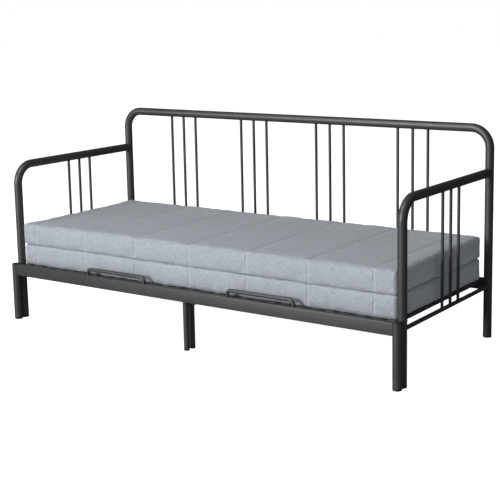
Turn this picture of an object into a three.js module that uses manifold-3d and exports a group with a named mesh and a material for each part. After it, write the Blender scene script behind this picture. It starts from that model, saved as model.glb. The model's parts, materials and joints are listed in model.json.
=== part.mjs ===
// Metal daybed with a pull-out under-frame and two stacked mattresses.
// Millimetres. +X runs along the length, +Y to the back and +Z up. The origin is on the
// floor, under the middle of the footprint. Left and right are as seen from the front.
import * as THREE from "three";
import { RoundedBoxGeometry } from "three/addons/geometries/RoundedBoxGeometry.js";
import { mergeVertices } from "three/addons/utils/BufferGeometryUtils.js";
import Module from "manifold-3d";

// Overall sizes, over the outer faces of the tubes
const LENGTH = 2070;
const DEPTH = 880;
const BACK_HEIGHT = 940;
const ARM_HEIGHT = 750;

// Main tube of the back, the arms and the corner legs
const TUBE_RADIUS = 19;
const TUBE_WALL = 1.5;
const TUBE_SIDES = 24;
const BACK_BEND = 85;
const ARM_BEND = 89;
const BEND_STEPS = 6;

// Smaller tubes, bars and rods
const SPINDLE_RADIUS = 6.5;
const SPINDLE_WALL = 1;
const SPINDLE_SIDES = 12;
const SPINDLE_PITCH = 75;
const SPINDLES_IN_GROUP = 3;
const BACK_GROUPS = 4;
const ARM_GROUP_SETBACK = 19;
const SIDE_RAIL_RADIUS = 9;
const SIDE_RAIL_HEIGHT = 229.4;
const SIDE_RAIL_SIDES = 16;
const MIDDLE_LEG_RADIUS = 12.5;
const PLATE_LENGTH = 50;
const PLATE_DEPTH = 36;
const PLATE_THICKNESS = 5;
const BAR_WALL = 1.5;
const RAIL_DEPTH = 25;
const RAIL_HEIGHT = 52;
const REAR_BEAM_DEPTH = 25;
const REAR_BEAM_HEIGHT = 50;
const FRONT_BEAM_DEPTH = 20;
const FRONT_BEAM_HEIGHT = 45;
const REAR_BAR_SIZE = 20;

// Deck of slats: fixed and sliding ones take turns across the length
const DECK_HEIGHT = 262;
const SLAT_WIDTH = 40;
const SLAT_HEIGHT = 15;
const DECK_PLACES = 29;
const RAIL_ABOVE_DECK = 4;
const REAR_BEAM_ABOVE_DECK = 2;
const REAR_BAR_CLEARANCE = 8.5;

// Hoops that keep the mattress on the deck
const HOOP_RADIUS = 8;
const HOOP_SIDES = 12;
const HOOP_BEND = 20;
const HOOP_HEIGHT = 36;
const HOOP_SPAN = 327;
const HOOP_CENTRE = 388;
const HOOP_FROM_RAIL_FACE = 8.5;

// Feet: a flange on the floor and a plug up inside the tube
const FOOT_FLANGE = 8;
const FOOT_PLUG = 20;
const FOOT_EDGE = 1.5;

// Mattresses
const MATTRESS_THICKNESS = 96;
const MATTRESS_CORNER = 18;
const MATTRESS_END_GAP = 2;
const MATTRESS_FRONT_GAP = 24.5;
const MATTRESS_BACK_GAP = 17.5;

// Clearances: between welded or resting pieces, and between the two frames' front legs
const GAP = 0.3;
const BEDDING_GAP = 0.5;
const LEG_GAP = 2;

// Places worked out from the sizes above
const SIDE_X = LENGTH / 2 - TUBE_RADIUS;
const BACK_Y = DEPTH / 2 - TUBE_RADIUS;
const SLIDING_Y = -BACK_Y;
const ARM_LEG_Y = SLIDING_Y + 2 * TUBE_RADIUS + LEG_GAP;
const TOP_RAIL_Z = BACK_HEIGHT - TUBE_RADIUS;
const ARM_Z = ARM_HEIGHT - TUBE_RADIUS;
const LEG_BOTTOM = FOOT_FLANGE + GAP;
const DECK_BOTTOM = DECK_HEIGHT - SLAT_HEIGHT;
const BEAM_TOP = DECK_BOTTOM - GAP;
const RAIL_TOP = DECK_HEIGHT + RAIL_ABOVE_DECK;
const RAIL_BACK_Y = SLIDING_Y + RAIL_DEPTH / 2;
const REAR_BEAM_TOP = DECK_HEIGHT + REAR_BEAM_ABOVE_DECK;
const REAR_BEAM_FACE = BACK_Y - REAR_BEAM_DEPTH / 2;
const INNER_X = SIDE_X - TUBE_RADIUS;
const MATTRESS_END = INNER_X - MATTRESS_END_GAP;

const wasm = await Module();
wasm.setup();

const UP = new THREE.Vector3(0, 0, 1);
const ALONG_X = new THREE.Vector3(1, 0, 0);
const ALONG_Y = new THREE.Vector3(0, 1, 0);
const paint = { color: 0x262628, roughness: 0.42, metalness: 0.35 };
const plastic = { color: 0x101011, roughness: 0.6, metalness: 0 };
const cover = { color: 0x9aa1ac, roughness: 0.95, metalness: 0 };

// A closed geometry as a solid that can be joined and cut.
function solidOf(geometry) {
  const bare = geometry.clone();
  bare.deleteAttribute("normal");
  bare.deleteAttribute("uv");
  const merged = mergeVertices(bare, 1e-3);
  const vertProperties = merged.getAttribute("position").array;
  const triVerts = new Uint32Array(merged.index.array);
  return new wasm.Manifold(new wasm.Mesh({ numProp: 3, vertProperties, triVerts }));
}

function geometryOf(solid) {
  const { vertProperties, triVerts } = solid.getMesh();
  const geometry = new THREE.BufferGeometry();
  geometry.setAttribute("position", new THREE.BufferAttribute(vertProperties, 3));
  geometry.setIndex(new THREE.BufferAttribute(triVerts, 1));
  geometry.computeVertexNormals();
  return geometry;
}

function cut(geometry, cutters) {
  const cuts = cutters.map(solidOf);
  return geometryOf(cuts.reduce((left, tool) => left.subtract(tool), solidOf(geometry)));
}

function circle(radius, sides) {
  const corner = (_, i) => {
    const turn = (2 * Math.PI * i) / sides;
    return new THREE.Vector2(radius * Math.cos(turn), radius * Math.sin(turn));
  };
  return Array.from({ length: sides }, corner);
}

function rectangle(width, height) {
  const [x, y] = [width / 2, height / 2];
  return [[-x, -y], [x, -y], [x, y], [-x, y]].map(([u, v]) => new THREE.Vector2(u, v));
}

function section(outer, inner) {
  const shape = new THREE.Shape(outer);
  if (inner) shape.holes.push(new THREE.Path(inner));
  return shape;
}

// Turns a geometry that was extruded along +Z so that it runs along another row axis,
// with its section's second axis upright, or along +X when it runs up.
function aimed(geometry, direction) {
  if (direction === UP) return geometry;
  const across = new THREE.Vector3().crossVectors(UP, direction);
  return geometry.applyMatrix4(new THREE.Matrix4().makeBasis(across, UP, direction));
}

// A straight bar or tube of one section, centred on the origin.
function bar(shape, length, direction) {
  const geometry = new THREE.ExtrudeGeometry(shape, { depth: length, bevelEnabled: false });
  return aimed(geometry.translate(0, 0, -length / 2), direction);
}

function roundTube(radius, wall, sides) {
  return section(circle(radius, sides), circle(radius - wall, sides));
}

function boxTube(width, height) {
  return section(rectangle(width, height), rectangle(width - 2 * BAR_WALL, height - 2 * BAR_WALL));
}

// What a round tube leaves free where another piece is coped onto it.
function cope(radius, length, direction, x, y, z, sides = TUBE_SIDES) {
  return bar(section(circle(radius + GAP, sides)), length, direction).translate(x, y, z);
}

// Straight runs between corners, joined by round bends. Its points stand only at the ends
// and round the bends, so a tube along it has no needless rings.
class BentRoute extends THREE.Curve {
  constructor(corners, bend) {
    super();
    const last = corners.length - 1;
    const heading = (i) => corners[i + 1].clone().sub(corners[i]).normalize();
    this.stations = [{ point: corners[0], tangent: heading(0) }];
    for (let i = 1; i < last; i += 1) this.addBend(corners[i], heading(i - 1), heading(i), bend);
    this.stations.push({ point: corners[last], tangent: heading(last - 1) });
    this.steps = this.stations.length - 1;
  }

  addBend(corner, from, to, bend) {
    const angle = from.angleTo(to);
    const start = corner.clone().addScaledVector(from, -bend * Math.tan(angle / 2));
    const inward = to.clone().addScaledVector(from, -to.dot(from)).normalize();
    for (let k = 0; k <= BEND_STEPS; k += 1) {
      const turn = (angle * k) / BEND_STEPS;
      const point = start.clone().addScaledVector(from, bend * Math.sin(turn));
      point.addScaledVector(inward, bend * (1 - Math.cos(turn)));
      const tangent = from.clone().multiplyScalar(Math.cos(turn));
      tangent.addScaledVector(inward, Math.sin(turn));
      this.stations.push({ point, tangent });
    }
  }

  stationAt(t) {
    return this.stations[Math.round(t * this.steps)];
  }

  getPoint(t, target = new THREE.Vector3()) {
    return target.copy(this.stationAt(t).point);
  }

  getTangent(t, target = new THREE.Vector3()) {
    return target.copy(this.stationAt(t).tangent);
  }

  getUtoTmapping(u) {
    return u;
  }
}

function bentTube(shape, corners, bend) {
  const route = new BentRoute(corners, bend);
  return new THREE.ExtrudeGeometry(shape, { steps: route.steps, extrudePath: route });
}

function place(group, name, geometry, look, x = 0, y = 0, z = 0) {
  const mesh = new THREE.Mesh(geometry, new THREE.MeshStandardMaterial(look));
  mesh.name = name;
  mesh.position.set(x, y, z);
  group.add(mesh);
}

const SIDES = [
  ["left", -1],
  ["right", 1],
];

// Places of the spindles of one group, counted from its middle
function groupOffsets() {
  const first = (-SPINDLE_PITCH * (SPINDLES_IN_GROUP - 1)) / 2;
  return Array.from({ length: SPINDLES_IN_GROUP }, (_, i) => first + i * SPINDLE_PITCH);
}

const spindleSection = roundTube(SPINDLE_RADIUS, SPINDLE_WALL, SPINDLE_SIDES);
const mainSection = roundTube(TUBE_RADIUS, TUBE_WALL, TUBE_SIDES);

// ---- Back: one bent tube, the beam between its posts, and groups of spindles ----

function addBack(group) {
  const corners = [
    [-SIDE_X, LEG_BOTTOM],
    [-SIDE_X, TOP_RAIL_Z],
    [SIDE_X, TOP_RAIL_Z],
    [SIDE_X, LEG_BOTTOM],
  ].map(([x, z]) => new THREE.Vector3(x, 0, z));
  place(group, "back_frame_tube", bentTube(mainSection, corners, BACK_BEND), paint, 0, BACK_Y, 0);

  const beam = bar(boxTube(REAR_BEAM_DEPTH, REAR_BEAM_HEIGHT), 2 * SIDE_X, ALONG_X);
  const posts = SIDES.map(([, side]) => cope(TUBE_RADIUS, 2 * REAR_BEAM_HEIGHT, UP, side * SIDE_X, 0, 0));
  const beamZ = REAR_BEAM_TOP - REAR_BEAM_HEIGHT / 2;
  place(group, "rear_beam", cut(beam, posts), paint, 0, BACK_Y, beamZ);

  const bottom = REAR_BEAM_TOP + GAP;
  const length = TOP_RAIL_Z - bottom;
  const topRail = cope(TUBE_RADIUS, 4 * SPINDLE_RADIUS, ALONG_X, 0, 0, length / 2);
  const spindle = cut(bar(spindleSection, length, UP), [topRail]);
  const groupWidth = SPINDLE_PITCH * (SPINDLES_IN_GROUP - 1) + 2 * SPINDLE_RADIUS;
  const space = (2 * INNER_X - BACK_GROUPS * groupWidth) / (BACK_GROUPS + 1);
  let count = 0;
  for (let g = 0; g < BACK_GROUPS; g += 1) {
    const middle = -INNER_X + (g + 1) * space + (g + 0.5) * groupWidth;
    for (const offset of groupOffsets()) {
      count += 1;
      const name = "back_spindle_" + String(count).padStart(2, "0");
      place(group, name, spindle.clone(), paint, middle + offset, BACK_Y, bottom + length / 2);
    }
  }
}

// ---- Arms: front leg, bend and arm in one tube, a lower rail and a group of spindles ----

function addArm(group, name, side) {
  const x = side * SIDE_X;
  const reach = BACK_Y - ARM_LEG_Y;
  const corners = [
    [0, LEG_BOTTOM],
    [0, ARM_Z],
    [reach, ARM_Z],
  ].map(([y, z]) => new THREE.Vector3(0, y, z));
  const postAbove = cope(TUBE_RADIUS, 4 * TUBE_RADIUS, UP, 0, reach, ARM_Z);
  const arm = cut(bentTube(mainSection, corners, ARM_BEND), [postAbove]);
  place(group, name + "_arm_tube", arm, paint, x, ARM_LEG_Y, 0);

  const legAndPost = [-reach / 2, reach / 2].map((y) =>
    cope(TUBE_RADIUS, 4 * SIDE_RAIL_RADIUS, UP, 0, y, 0),
  );
  const railSection = roundTube(SIDE_RAIL_RADIUS, BAR_WALL, SIDE_RAIL_SIDES);
  const rail = cut(bar(railSection, reach, ALONG_Y), legAndPost);
  const middle = ARM_LEG_Y + reach / 2;
  place(group, name + "_side_rail", rail, paint, x, middle, SIDE_RAIL_HEIGHT);

  const length = ARM_Z - SIDE_RAIL_HEIGHT;
  const span = 4 * SPINDLE_RADIUS;
  const ends = [
    cope(TUBE_RADIUS, span, ALONG_Y, 0, 0, length / 2),
    cope(SIDE_RAIL_RADIUS, span, ALONG_Y, 0, 0, -length / 2, SIDE_RAIL_SIDES),
  ];
  const spindle = cut(bar(spindleSection, length, UP), ends);
  groupOffsets().forEach((offset, i) => {
    const y = middle + ARM_GROUP_SETBACK + offset;
    const spindleName = name + "_arm_spindle_" + (i + 1);
    place(group, spindleName, spindle.clone(), paint, x, y, SIDE_RAIL_HEIGHT + length / 2);
  });
}

// ---- Feet: a plastic flange under a tube, with a plug up inside it ----

function foot(tubeRadius) {
  const plug = tubeRadius - TUBE_WALL - GAP;
  const profile = [
    [0, 0],
    [tubeRadius - FOOT_EDGE, 0],
    [tubeRadius, FOOT_EDGE],
    [tubeRadius, FOOT_FLANGE],
    [plug, FOOT_FLANGE],
    [plug, FOOT_FLANGE + FOOT_PLUG],
    [0, FOOT_FLANGE + FOOT_PLUG],
  ].map(([r, z]) => new THREE.Vector2(r, z));
  return new THREE.LatheGeometry(profile, TUBE_SIDES).rotateX(Math.PI / 2);
}

// A straight leg from its foot up to a height.
function leg(radius, top) {
  const length = top - LEG_BOTTOM;
  const tube = bar(roundTube(radius, TUBE_WALL, TUBE_SIDES), length, UP);
  return tube.translate(0, 0, LEG_BOTTOM + length / 2);
}

// ---- Deck: the cross beams and the slats of each frame ----

// Height 0 is the middle of the slat; it runs from one Y to another.
function addSlat(group, name, x, fromY, toY) {
  const slat = bar(boxTube(SLAT_WIDTH, SLAT_HEIGHT), toY - fromY, ALONG_Y);
  place(group, name, slat, paint, x, (fromY + toY) / 2, DECK_HEIGHT - SLAT_HEIGHT / 2);
}

// Places are counted from the middle of the deck. Even ones are fixed and odd ones slide;
// every second slat of each kind is modelled.
function addSlats(group, kind, places, fromY, toY) {
  const pitch = (2 * MATTRESS_END - SLAT_WIDTH) / (DECK_PLACES - 1);
  const both = [...places.map((p) => -p).reverse(), ...places];
  both.forEach((at, i) => addSlat(group, kind + "_slat_" + (i + 1), at * pitch, fromY, toY));
}

function addFixedDeck(group) {
  const beam = bar(boxTube(FRONT_BEAM_DEPTH, FRONT_BEAM_HEIGHT), 2 * SIDE_X, ALONG_X);
  const legs = SIDES.map(([, side]) => cope(TUBE_RADIUS, 2 * FRONT_BEAM_HEIGHT, UP, side * SIDE_X, 0, 0));
  const beamZ = BEAM_TOP - FRONT_BEAM_HEIGHT / 2;
  place(group, "front_beam", cut(beam, legs), paint, 0, ARM_LEG_Y, beamZ);
  addSlats(group, "fixed", [2, 6, 10, 14], ARM_LEG_Y - FRONT_BEAM_DEPTH / 2, REAR_BEAM_FACE - GAP);

  const plateTop = BEAM_TOP - FRONT_BEAM_HEIGHT - GAP;
  const plate = new THREE.BoxGeometry(PLATE_LENGTH, PLATE_DEPTH, PLATE_THICKNESS);
  place(group, "middle_leg_plate", plate, paint, 0, ARM_LEG_Y, plateTop - PLATE_THICKNESS / 2);
  const legTop = plateTop - PLATE_THICKNESS - GAP;
  place(group, "middle_leg", leg(MIDDLE_LEG_RADIUS, legTop), paint, 0, ARM_LEG_Y, 0);
  place(group, "middle_foot", foot(MIDDLE_LEG_RADIUS), plastic, 0, ARM_LEG_Y, 0);
}

// ---- Under-frame that slides out: rail, legs, hoops, slats and the bar that joins them ----

function addSlidingDeck(group) {
  const rail = bar(boxTube(RAIL_DEPTH, RAIL_HEIGHT), 2 * SIDE_X, ALONG_X);
  const legs = SIDES.map(([, side]) => cope(TUBE_RADIUS, 2 * RAIL_HEIGHT, UP, side * SIDE_X, 0, 0));
  const railZ = RAIL_TOP - RAIL_HEIGHT / 2;
  place(group, "sliding_rail", cut(rail, legs), paint, 0, SLIDING_Y, railZ);

  for (const [name, side] of SIDES) {
    const x = side * SIDE_X;
    place(group, "sliding_" + name + "_leg", leg(TUBE_RADIUS, RAIL_TOP), paint, x, SLIDING_Y, 0);
    place(group, "sliding_" + name + "_foot", foot(TUBE_RADIUS), plastic, x, SLIDING_Y, 0);
    addHoop(group, name + "_mattress_hoop", side * HOOP_CENTRE);
  }
  const legTop = RAIL_TOP - RAIL_HEIGHT - GAP;
  place(group, "sliding_middle_leg", leg(MIDDLE_LEG_RADIUS, legTop), paint, 0, SLIDING_Y, 0);
  place(group, "sliding_middle_foot", foot(MIDDLE_LEG_RADIUS), plastic, 0, SLIDING_Y, 0);

  const slatEnd = REAR_BEAM_FACE - REAR_BAR_CLEARANCE;
  const rearBar = bar(boxTube(REAR_BAR_SIZE, REAR_BAR_SIZE), 2 * MATTRESS_END - SLAT_WIDTH, ALONG_X);
  const barZ = BEAM_TOP - REAR_BAR_SIZE / 2;
  place(group, "sliding_rear_bar", rearBar, paint, 0, slatEnd - REAR_BAR_SIZE / 2, barZ);
  addSlats(group, "sliding", [1, 5, 9, 13], RAIL_BACK_Y + GAP, slatEnd);
}

function addHoop(group, name, x) {
  const half = HOOP_SPAN / 2;
  const top = HOOP_HEIGHT - HOOP_RADIUS;
  const corners = [
    [-half, 0],
    [-half, top],
    [half, top],
    [half, 0],
  ].map(([u, z]) => new THREE.Vector3(u, 0, z));
  const bend = Math.min(HOOP_BEND, top);
  const hoop = bentTube(section(circle(HOOP_RADIUS, HOOP_SIDES)), corners, bend);
  const y = SLIDING_Y - RAIL_DEPTH / 2 + HOOP_FROM_RAIL_FACE;
  place(group, name, hoop, paint, x, y, RAIL_TOP + GAP);
}

// ---- Mattresses: plain rounded blocks between the end tubes ----

function addMattresses(group) {
  const front = RAIL_BACK_Y + MATTRESS_FRONT_GAP;
  const back = REAR_BEAM_FACE - MATTRESS_BACK_GAP;
  ["lower_mattress", "upper_mattress"].forEach((name, i) => {
    const size = [2 * MATTRESS_END, back - front, MATTRESS_THICKNESS];
    const block = new RoundedBoxGeometry(...size, 3, MATTRESS_CORNER);
    const bottom = DECK_HEIGHT + BEDDING_GAP + i * (MATTRESS_THICKNESS + BEDDING_GAP);
    place(group, name, block, cover, 0, (front + back) / 2, bottom + MATTRESS_THICKNESS / 2);
  });
}

const frame = new THREE.Group();
addBack(frame);
SIDES.forEach(([name, side]) => addArm(frame, name, side));
addFixedDeck(frame);
for (const [name, side] of SIDES) {
  place(frame, "back_" + name + "_foot", foot(TUBE_RADIUS), plastic, side * SIDE_X, BACK_Y, 0);
  place(frame, "arm_" + name + "_foot", foot(TUBE_RADIUS), plastic, side * SIDE_X, ARM_LEG_Y, 0);
}

const underFrame = new THREE.Group();
addSlidingDeck(underFrame);

const bedding = new THREE.Group();
addMattresses(bedding);

const daybed = new THREE.Group();
daybed.add(frame, underFrame, bedding);

export default daybed;
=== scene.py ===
"""Daybed of bent steel tube with a slatted frame that pulls out from under two mattresses.

Every piece is a surface worked out from the sizes of the packed frame, and lies in the frame's own place.
"""

import json
import math

import bpy
import numpy as np
from mathutils import Matrix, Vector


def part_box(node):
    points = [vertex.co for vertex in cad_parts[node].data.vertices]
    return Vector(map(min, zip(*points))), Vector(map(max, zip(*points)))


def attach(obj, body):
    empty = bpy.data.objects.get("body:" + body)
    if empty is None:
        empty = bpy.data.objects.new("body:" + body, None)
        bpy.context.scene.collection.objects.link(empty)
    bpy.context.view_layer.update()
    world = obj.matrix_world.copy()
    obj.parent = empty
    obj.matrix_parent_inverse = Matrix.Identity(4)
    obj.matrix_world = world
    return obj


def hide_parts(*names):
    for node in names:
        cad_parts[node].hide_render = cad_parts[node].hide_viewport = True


bl_info = {
    "name": "Daybed with pull-out frame",
    "version": (1, 0, 0),
    "blender": (4, 5, 0),
    "location": "3D View > Sidebar > Daybed",
    "description": "Builds a tubular daybed, its pull-out slatted frame and its two mattresses",
    "category": "Add Mesh",
}

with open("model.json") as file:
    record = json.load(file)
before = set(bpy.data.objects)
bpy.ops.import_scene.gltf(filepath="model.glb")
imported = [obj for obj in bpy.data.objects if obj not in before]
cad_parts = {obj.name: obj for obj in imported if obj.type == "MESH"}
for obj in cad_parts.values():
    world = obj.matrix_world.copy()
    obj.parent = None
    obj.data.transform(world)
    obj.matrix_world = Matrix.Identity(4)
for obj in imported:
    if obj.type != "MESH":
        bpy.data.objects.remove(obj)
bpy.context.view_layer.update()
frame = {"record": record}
BODY_OF = {
    node: body
    for body, nodes in frame["record"]["behaviour"]["bodies"].items()
    for node in nodes
}
MM = 0.001
AROUND = 48
X, Y, Z = np.eye(3)
WHITE = (1, 1, 1, 1)
LIT_POINT = np.array([-0.15, -0.1, 0.45])
LENS_SHIFT = (-0.04, -0.1)
FLOOR_HALF = 30.0

HANDS = ("left", "right")
BACK_SPINDLES = [f"back_spindle_{i:02d}" for i in range(1, 13)]
CAPPED_LEGS = ("sliding_left_leg", "sliding_right_leg")
UNDER_CAP = 0.5 * MM
EASED = 0.8 * MM
FOOT_RINGS = ((3.2, 0), (1.6, 0.3), (0.6, 1.1), (0.1, 2.4), (-0.15, 4), (-0.15, 7.4), (0.3, 8.05), (1.2, 8.3))
CAP_RIM = ((0.8, 0), (0.1, 0.3), (0, 0.9))
DOME_RINGS = ((1, 0), (0.99, 0.1), (0.9, 0.26), (0.74, 0.38), (0.56, 0.43))
SOCKET_RINGS = ((0.44, 0.44), (0.41, 0.41), (0.4, 0.08))

YARN_ALONG, YARN_ACROSS = 60, 420
SEAM_LINES = np.array([-0.006, -0.003, 0, 0.003, 0.006])
CLOTH_STEPS = 20
CLOTH = {
    "quality": 6,
    "mass": 0.3,
    "tension_stiffness": 12,
    "compression_stiffness": 12,
    "shear_stiffness": 4,
    "bending_stiffness": 0.3,
    "shrink_min": -0.015,
    "use_pressure": True,
    "uniform_pressure_force": 4,
}


def low_high(node):
    """The lowest and highest corner of a node as arrays."""
    low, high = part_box(node)
    return np.array(low), np.array(high)


def centre(node):
    """The middle of a node's box."""
    low, high = low_high(node)
    return (low + high) / 2


def upright(node):
    """Of an upright bar, the middle's x and y, the heights of its foot and head, and its radius."""
    low, high = low_high(node)
    x, y = (low + high)[:2] / 2
    return x, y, low[2], high[2], (high[0] - low[0]) / 2


# ---- surfaces


def unit(vector):
    """The vector at length one."""
    return vector / np.linalg.norm(vector)


def skin(points, ring=False):
    """Four-cornered faces over a grid of points whose rows go round.

    Row i and row i + 1 are joined point by point. The first and last rows are closed by one flat face each,
    or joined to each other where the rows make a ring. All faces are turned to point outwards, which is
    where the sum of corner dot (corner cross corner) about the middle is positive.
    """
    rows, columns = points.shape[:2]
    i = np.arange(rows if ring else rows - 1)[:, None]
    j = np.arange(columns)[None, :]
    above, beside = (i + 1) % rows, (j + 1) % columns
    corners = [i * columns + j, i * columns + beside, above * columns + beside, above * columns + j]
    quads = np.stack(np.broadcast_arrays(*corners), -1).reshape(-1, 4)
    places = points.reshape(-1, 3)
    a, b, c, d = np.moveaxis((places - places.mean(0))[quads], 1, 0)
    volume = np.einsum("ij,ij->", a, np.cross(b, c)) + np.einsum("ij,ij->", a, np.cross(c, d))
    ends = [] if ring else [np.arange(columns)[::-1], np.arange(columns) + (rows - 1) * columns]
    if volume < 0:
        quads = quads[:, ::-1]
        ends = [end[::-1] for end in ends]
    return places, quads.tolist() + [end.tolist() for end in ends]


def joined(skins):
    """Several skins as one."""
    places, faces, count = [], [], 0
    for points, corners in skins:
        places.append(points)
        faces += [[corner + count for corner in face] for face in corners]
        count += len(points)
    return np.concatenate(places), faces


def circle(radius, steps=AROUND):
    """Points at (radius cos t, radius sin t), with t going once round."""
    t = np.linspace(0, 2 * math.pi, steps, endpoint=False)
    return radius * np.stack([np.cos(t), np.sin(t)], -1)


def rounded_rectangle(width, height, radius, steps=6):
    """Four quarter circles: corner centre plus radius times (cos t, sin t), t turning a quarter at each."""
    t = np.linspace(0, math.pi / 2, steps + 1) + np.arange(4)[:, None] * math.pi / 2
    sign = np.array([[1, 1], [-1, 1], [-1, -1], [1, -1]])[:, None, :]
    middle = sign * (np.array([width, height]) / 2 - radius)
    return (middle + radius * np.stack([np.cos(t), np.sin(t)], -1)).reshape(-1, 2)


def bent_path(corners, radius, steps=20):
    """Straight runs joined by arcs.

    Each inner corner gives way to an arc of the radius that touches both runs: a point on it is the arc's
    centre minus radius cos t towards the inside plus radius sin t along the run before, and its direction
    is cos t along that run plus sin t towards the inside. Gives the points and the directions.
    """
    corners = [np.asarray(corner, float) for corner in corners]
    points, directions = [corners[0][None]], [unit(corners[1] - corners[0])[None]]
    for before, corner, after in zip(corners, corners[1:], corners[2:]):
        along, leaving = unit(corner - before), unit(after - corner)
        turn = math.acos(along @ leaving)
        inside = unit(leaving - (leaving @ along) * along)
        middle = corner - along * radius * math.tan(turn / 2) + inside * radius
        t = np.linspace(0, turn, steps + 1)[:, None]
        points.append(middle - radius * np.cos(t) * inside + radius * np.sin(t) * along)
        directions.append(np.cos(t) * along + np.sin(t) * inside)
    points.append(corners[-1][None])
    directions.append(unit(corners[-1] - corners[-2])[None])
    return np.concatenate(points), np.concatenate(directions)


def carried(profile, path, flat):
    """A profile carried along a path that lies in one plane.

    A point is the path's point plus the profile's first number across the path in its plane plus the second
    number along the plane's own direction, flat.
    """
    points, directions = path
    across = np.cross(flat, directions)
    made = points[:, None] + profile[None, :, :1] * across[:, None] + profile[None, :, 1:] * flat
    return skin(made)


def straight(profile, start, end, flat, eased=0.0):
    """A profile carried from start to end, whose ends draw in by eased over the last eased part of the way.

    There the place is eased (1 - cos t) and the profile is in by eased (1 - sin t), over a quarter turn of t.
    """
    start, end = np.asarray(start, float), np.asarray(end, float)
    length, along = np.linalg.norm(end - start), unit(end - start)
    across = np.cross(flat, along)
    if eased:
        t = np.array([0, 0.5, 1]) * math.pi / 2
        place = eased * (1 - np.cos(t))
        drawn = eased * (1 - np.sin(t))
        place = np.concatenate([place, length - place[::-1]])
        drawn = np.concatenate([drawn, drawn[::-1]])
    else:
        place, drawn = np.array([0, length]), np.zeros(2)
    reach = np.linalg.norm(profile, axis=-1, keepdims=True)
    shapes = profile[None] - drawn[:, None, None] * (profile / reach)[None]
    centres = start + place[:, None] * along
    return skin(centres[:, None] + shapes[..., :1] * across + shapes[..., 1:] * flat)


def turned(rings, foot, axis, steps=AROUND, hexagon=None):
    """A shape turned round an axis.

    rings is a list of (radius, height): a point is foot plus height along the axis plus radius times
    (cos t, sin t) across it. Where hexagon is 1 the radius is divided by cos of the angle from the middle
    of the nearest flat, which makes that ring a hexagon, and 0 leaves it round.
    """
    radius, height = np.array(rings, float).T
    axis = unit(np.asarray(axis, float))
    first = unit(np.cross(axis, Z if abs(axis @ Z) < 0.9 else X))
    second = np.cross(axis, first)
    t = np.linspace(0, 2 * math.pi, steps, endpoint=False)
    reach = np.broadcast_to(radius[:, None], (len(radius), steps))
    if hexagon is not None:
        from_flat = (t + math.pi / 6) % (math.pi / 3) - math.pi / 6
        share = np.array(hexagon, float)[:, None]
        reach = reach * (1 - share + share / np.cos(from_flat)[None])
    around = np.cos(t)[:, None] * first + np.sin(t)[:, None] * second
    return skin(foot + reach[..., None] * around + height[:, None, None] * axis)


def weld(foot, away, big_axis, big_radius, radius, bead, steps=20, sides=6):
    """The fillet of weld where a round bar of the radius meets a round bar of big_radius.

    The line of the joint is foot plus radius times (cos t, sin t) across the small bar, and out along it to
    the square root of big_radius squared minus the square of its offset across the big one. A circle of the
    bead's size, which swells and shrinks a little as it goes round, is carried along that line. With
    big_radius 0 the bar meets a flat face.
    """
    away = unit(np.asarray(away, float))
    other = unit(np.cross(away, big_axis))
    t = np.linspace(0, 2 * math.pi, steps, endpoint=False)[:, None]
    across = np.cos(t) * big_axis + np.sin(t) * other
    offset = radius * np.sin(t)
    out = np.sqrt(np.maximum(big_radius**2 - offset**2, 0))
    line = foot + radius * across + out * away
    size = bead * (1 + 0.12 * np.sin(5 * t) + 0.06 * np.sin(9 * t))
    turn = np.linspace(0, 2 * math.pi, sides, endpoint=False)[None, :, None]
    made = np.cos(turn) * across[:, None] + np.sin(turn) * away
    return skin(line[:, None] + size[:, None] * made, ring=True)


def seam_weld(start, end, bead, steps=14, sides=6):
    """A straight run of weld: a circle carried from start to end, drawn in to a point at both ends by the
    fourth root of one minus the fourth power of the share of the way, with a slight ripple."""
    start, end = np.asarray(start, float), np.asarray(end, float)
    share = np.sin(np.linspace(-0.499, 0.499, steps) * math.pi)[:, None]
    along = unit(end - start)
    first = unit(np.cross(along, Z if abs(along @ Z) < 0.9 else X))
    second = np.cross(along, first)
    size = bead * (1 - share**4) ** 0.25 * (1 + 0.1 * np.sin(9 * share))
    turn = np.linspace(0, 2 * math.pi, sides, endpoint=False)[None, :, None]
    middle = (start + end) / 2 + share * (end - start) / 2
    return skin(middle[:, None] + size[:, None] * (np.cos(turn) * first + np.sin(turn) * second))


def button_bolt(foot, axis, radius=6.5 * MM):
    """A domed bolt head with a six-sided socket. The rings go up the dome and down into the socket."""
    rings = [(share * radius, height * radius) for share, height in DOME_RINGS + SOCKET_RINGS]
    six_sided = [0] * len(DOME_RINGS) + [1] * len(SOCKET_RINGS)
    return turned(rings, foot, axis, 24, hexagon=six_sided)


# ---- pieces


def new_object(name, places, faces, finish):
    """A mesh object at the origin in one material."""
    mesh = bpy.data.meshes.new(name)
    mesh.from_pydata(places, [], faces)
    mesh.update()
    mesh.materials.append(finish)
    made = bpy.data.objects.new(name, mesh)
    bpy.context.scene.collection.objects.link(made)
    return made


def add_piece(name, surface, body, slot, nodes=(), sharp=40.0):
    """Makes a smooth object in its slot's material, and lets it ride on its body."""
    places, faces = surface
    piece = new_object(name, places.tolist(), faces, material(slot))
    piece.data.shade_smooth()
    piece.data.set_sharp_from_angle(angle=math.radians(sharp))
    placed(piece, body, nodes)


def placed(piece, body, nodes):
    """Says which body a piece rides on and which nodes it stands for."""
    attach(piece, body)
    if nodes:
        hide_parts(*nodes)


def add_painted(node, surface):
    """A piece in frame paint that stands for one node."""
    add_piece(node + "_fine", surface, BODY_OF[node], "frame_paint", [node])


def material(slot):
    """The material made earlier for a slot, named like it but with spaces."""
    name = slot.replace("_", " ")
    found = bpy.data.materials.get(name)
    if found is None:
        raise RuntimeError(f"make the stage and the finishes first: there is no material named {name}")
    return found


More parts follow.
